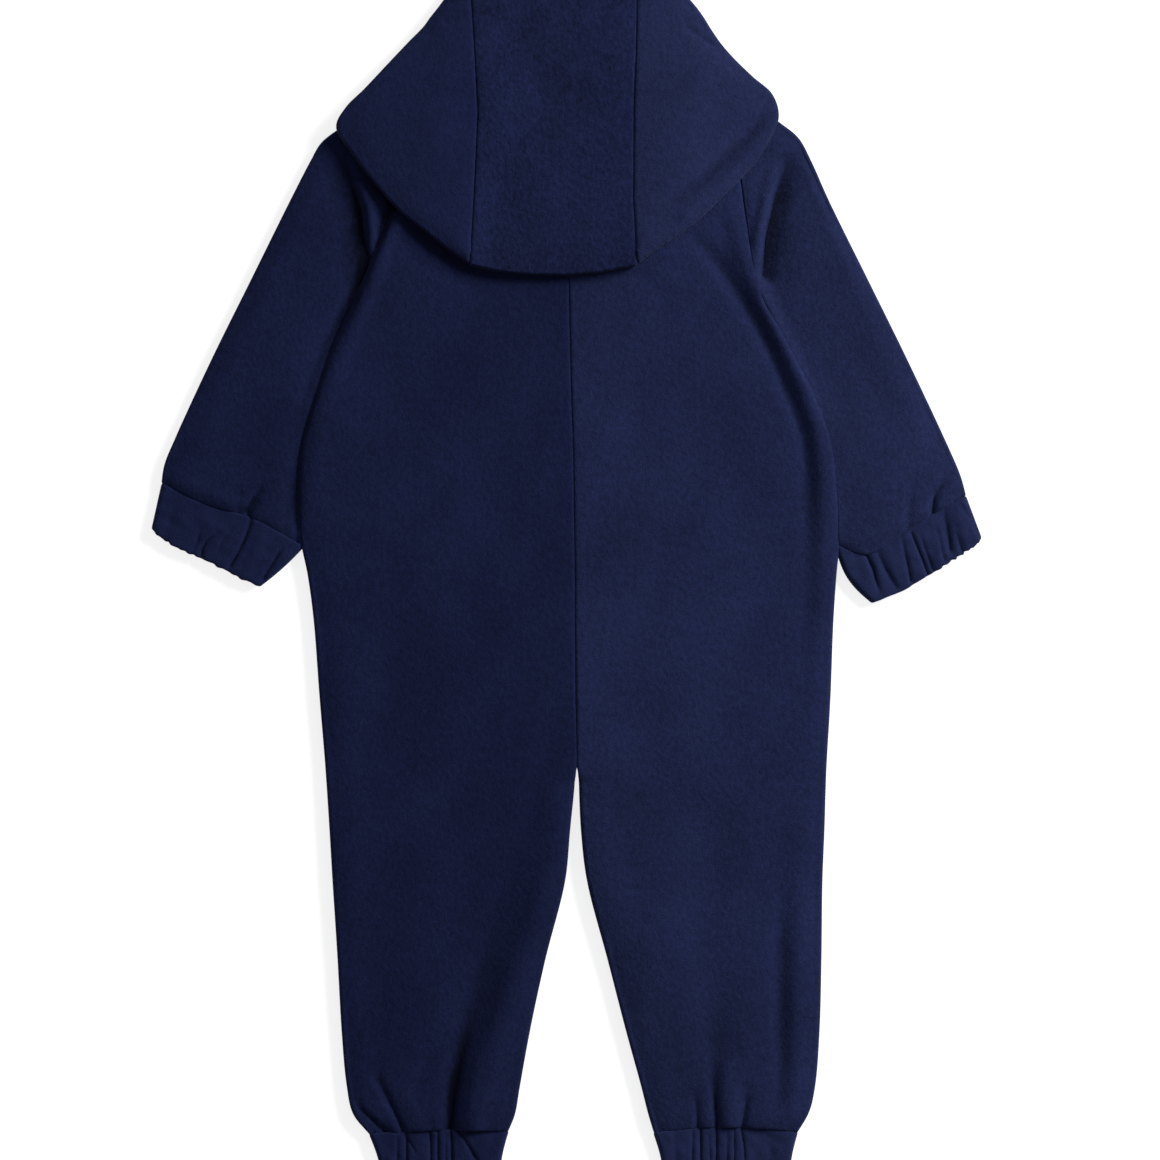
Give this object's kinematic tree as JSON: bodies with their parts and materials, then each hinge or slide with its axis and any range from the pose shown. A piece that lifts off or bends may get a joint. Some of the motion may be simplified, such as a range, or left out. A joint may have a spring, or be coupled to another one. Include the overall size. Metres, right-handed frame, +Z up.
{
  "type": "hooded fleece onesie",
  "caption": "Toddler's hooded fleece onesie, laid flat face down: raglan sleeves, gathered wrist and ankle cuffs, hood folded down over the back, front zip.",
  "frame": {"origin": "middle of the bounding box on the surface that the garment lies on", "axes": "+Y from the ankles to the hood, +Z up out of the garment's back, +X towards the garment's right half (the right of the picture)"},
  "size_m": [0.474, 0.708, 0.0155],
  "materials": {
    "fleece": "dark navy brushed fleece, matt, with a fine short nap",
    "cuff_fleece": "the same navy fleece, gathered into bands",
    "zip_tape": "woven navy tape",
    "zip_metal": "dull grey metal"
  },
  "bodies": {
    "garment": {"back_left": "fleece", "back_right": "fleece", "front_left": "fleece", "front_right": "fleece", "sleeve_left": "fleece", "sleeve_right": "fleece", "wrist_cuff_left": "cuff_fleece", "wrist_cuff_right": "cuff_fleece", "ankle_cuff_left": "cuff_fleece", "ankle_cuff_right": "cuff_fleece", "hood_centre": "fleece", "hood_left": "fleece", "hood_right": "fleece", "zip_tape_left": "zip_tape", "zip_tape_right": "zip_tape", "zip_slider": "zip_metal"},
    "zip_pull": {"zip_pull": "zip_metal"}
  },
  "joints": [
    {"name": "zip_pull_swing", "type": "hinge", "parent": "garment", "child": "zip_pull", "pos_m": [0.00021, 0.28855, 0.0015], "axis": [1, 0, 0], "range_deg": [0, 150]}
  ]
}
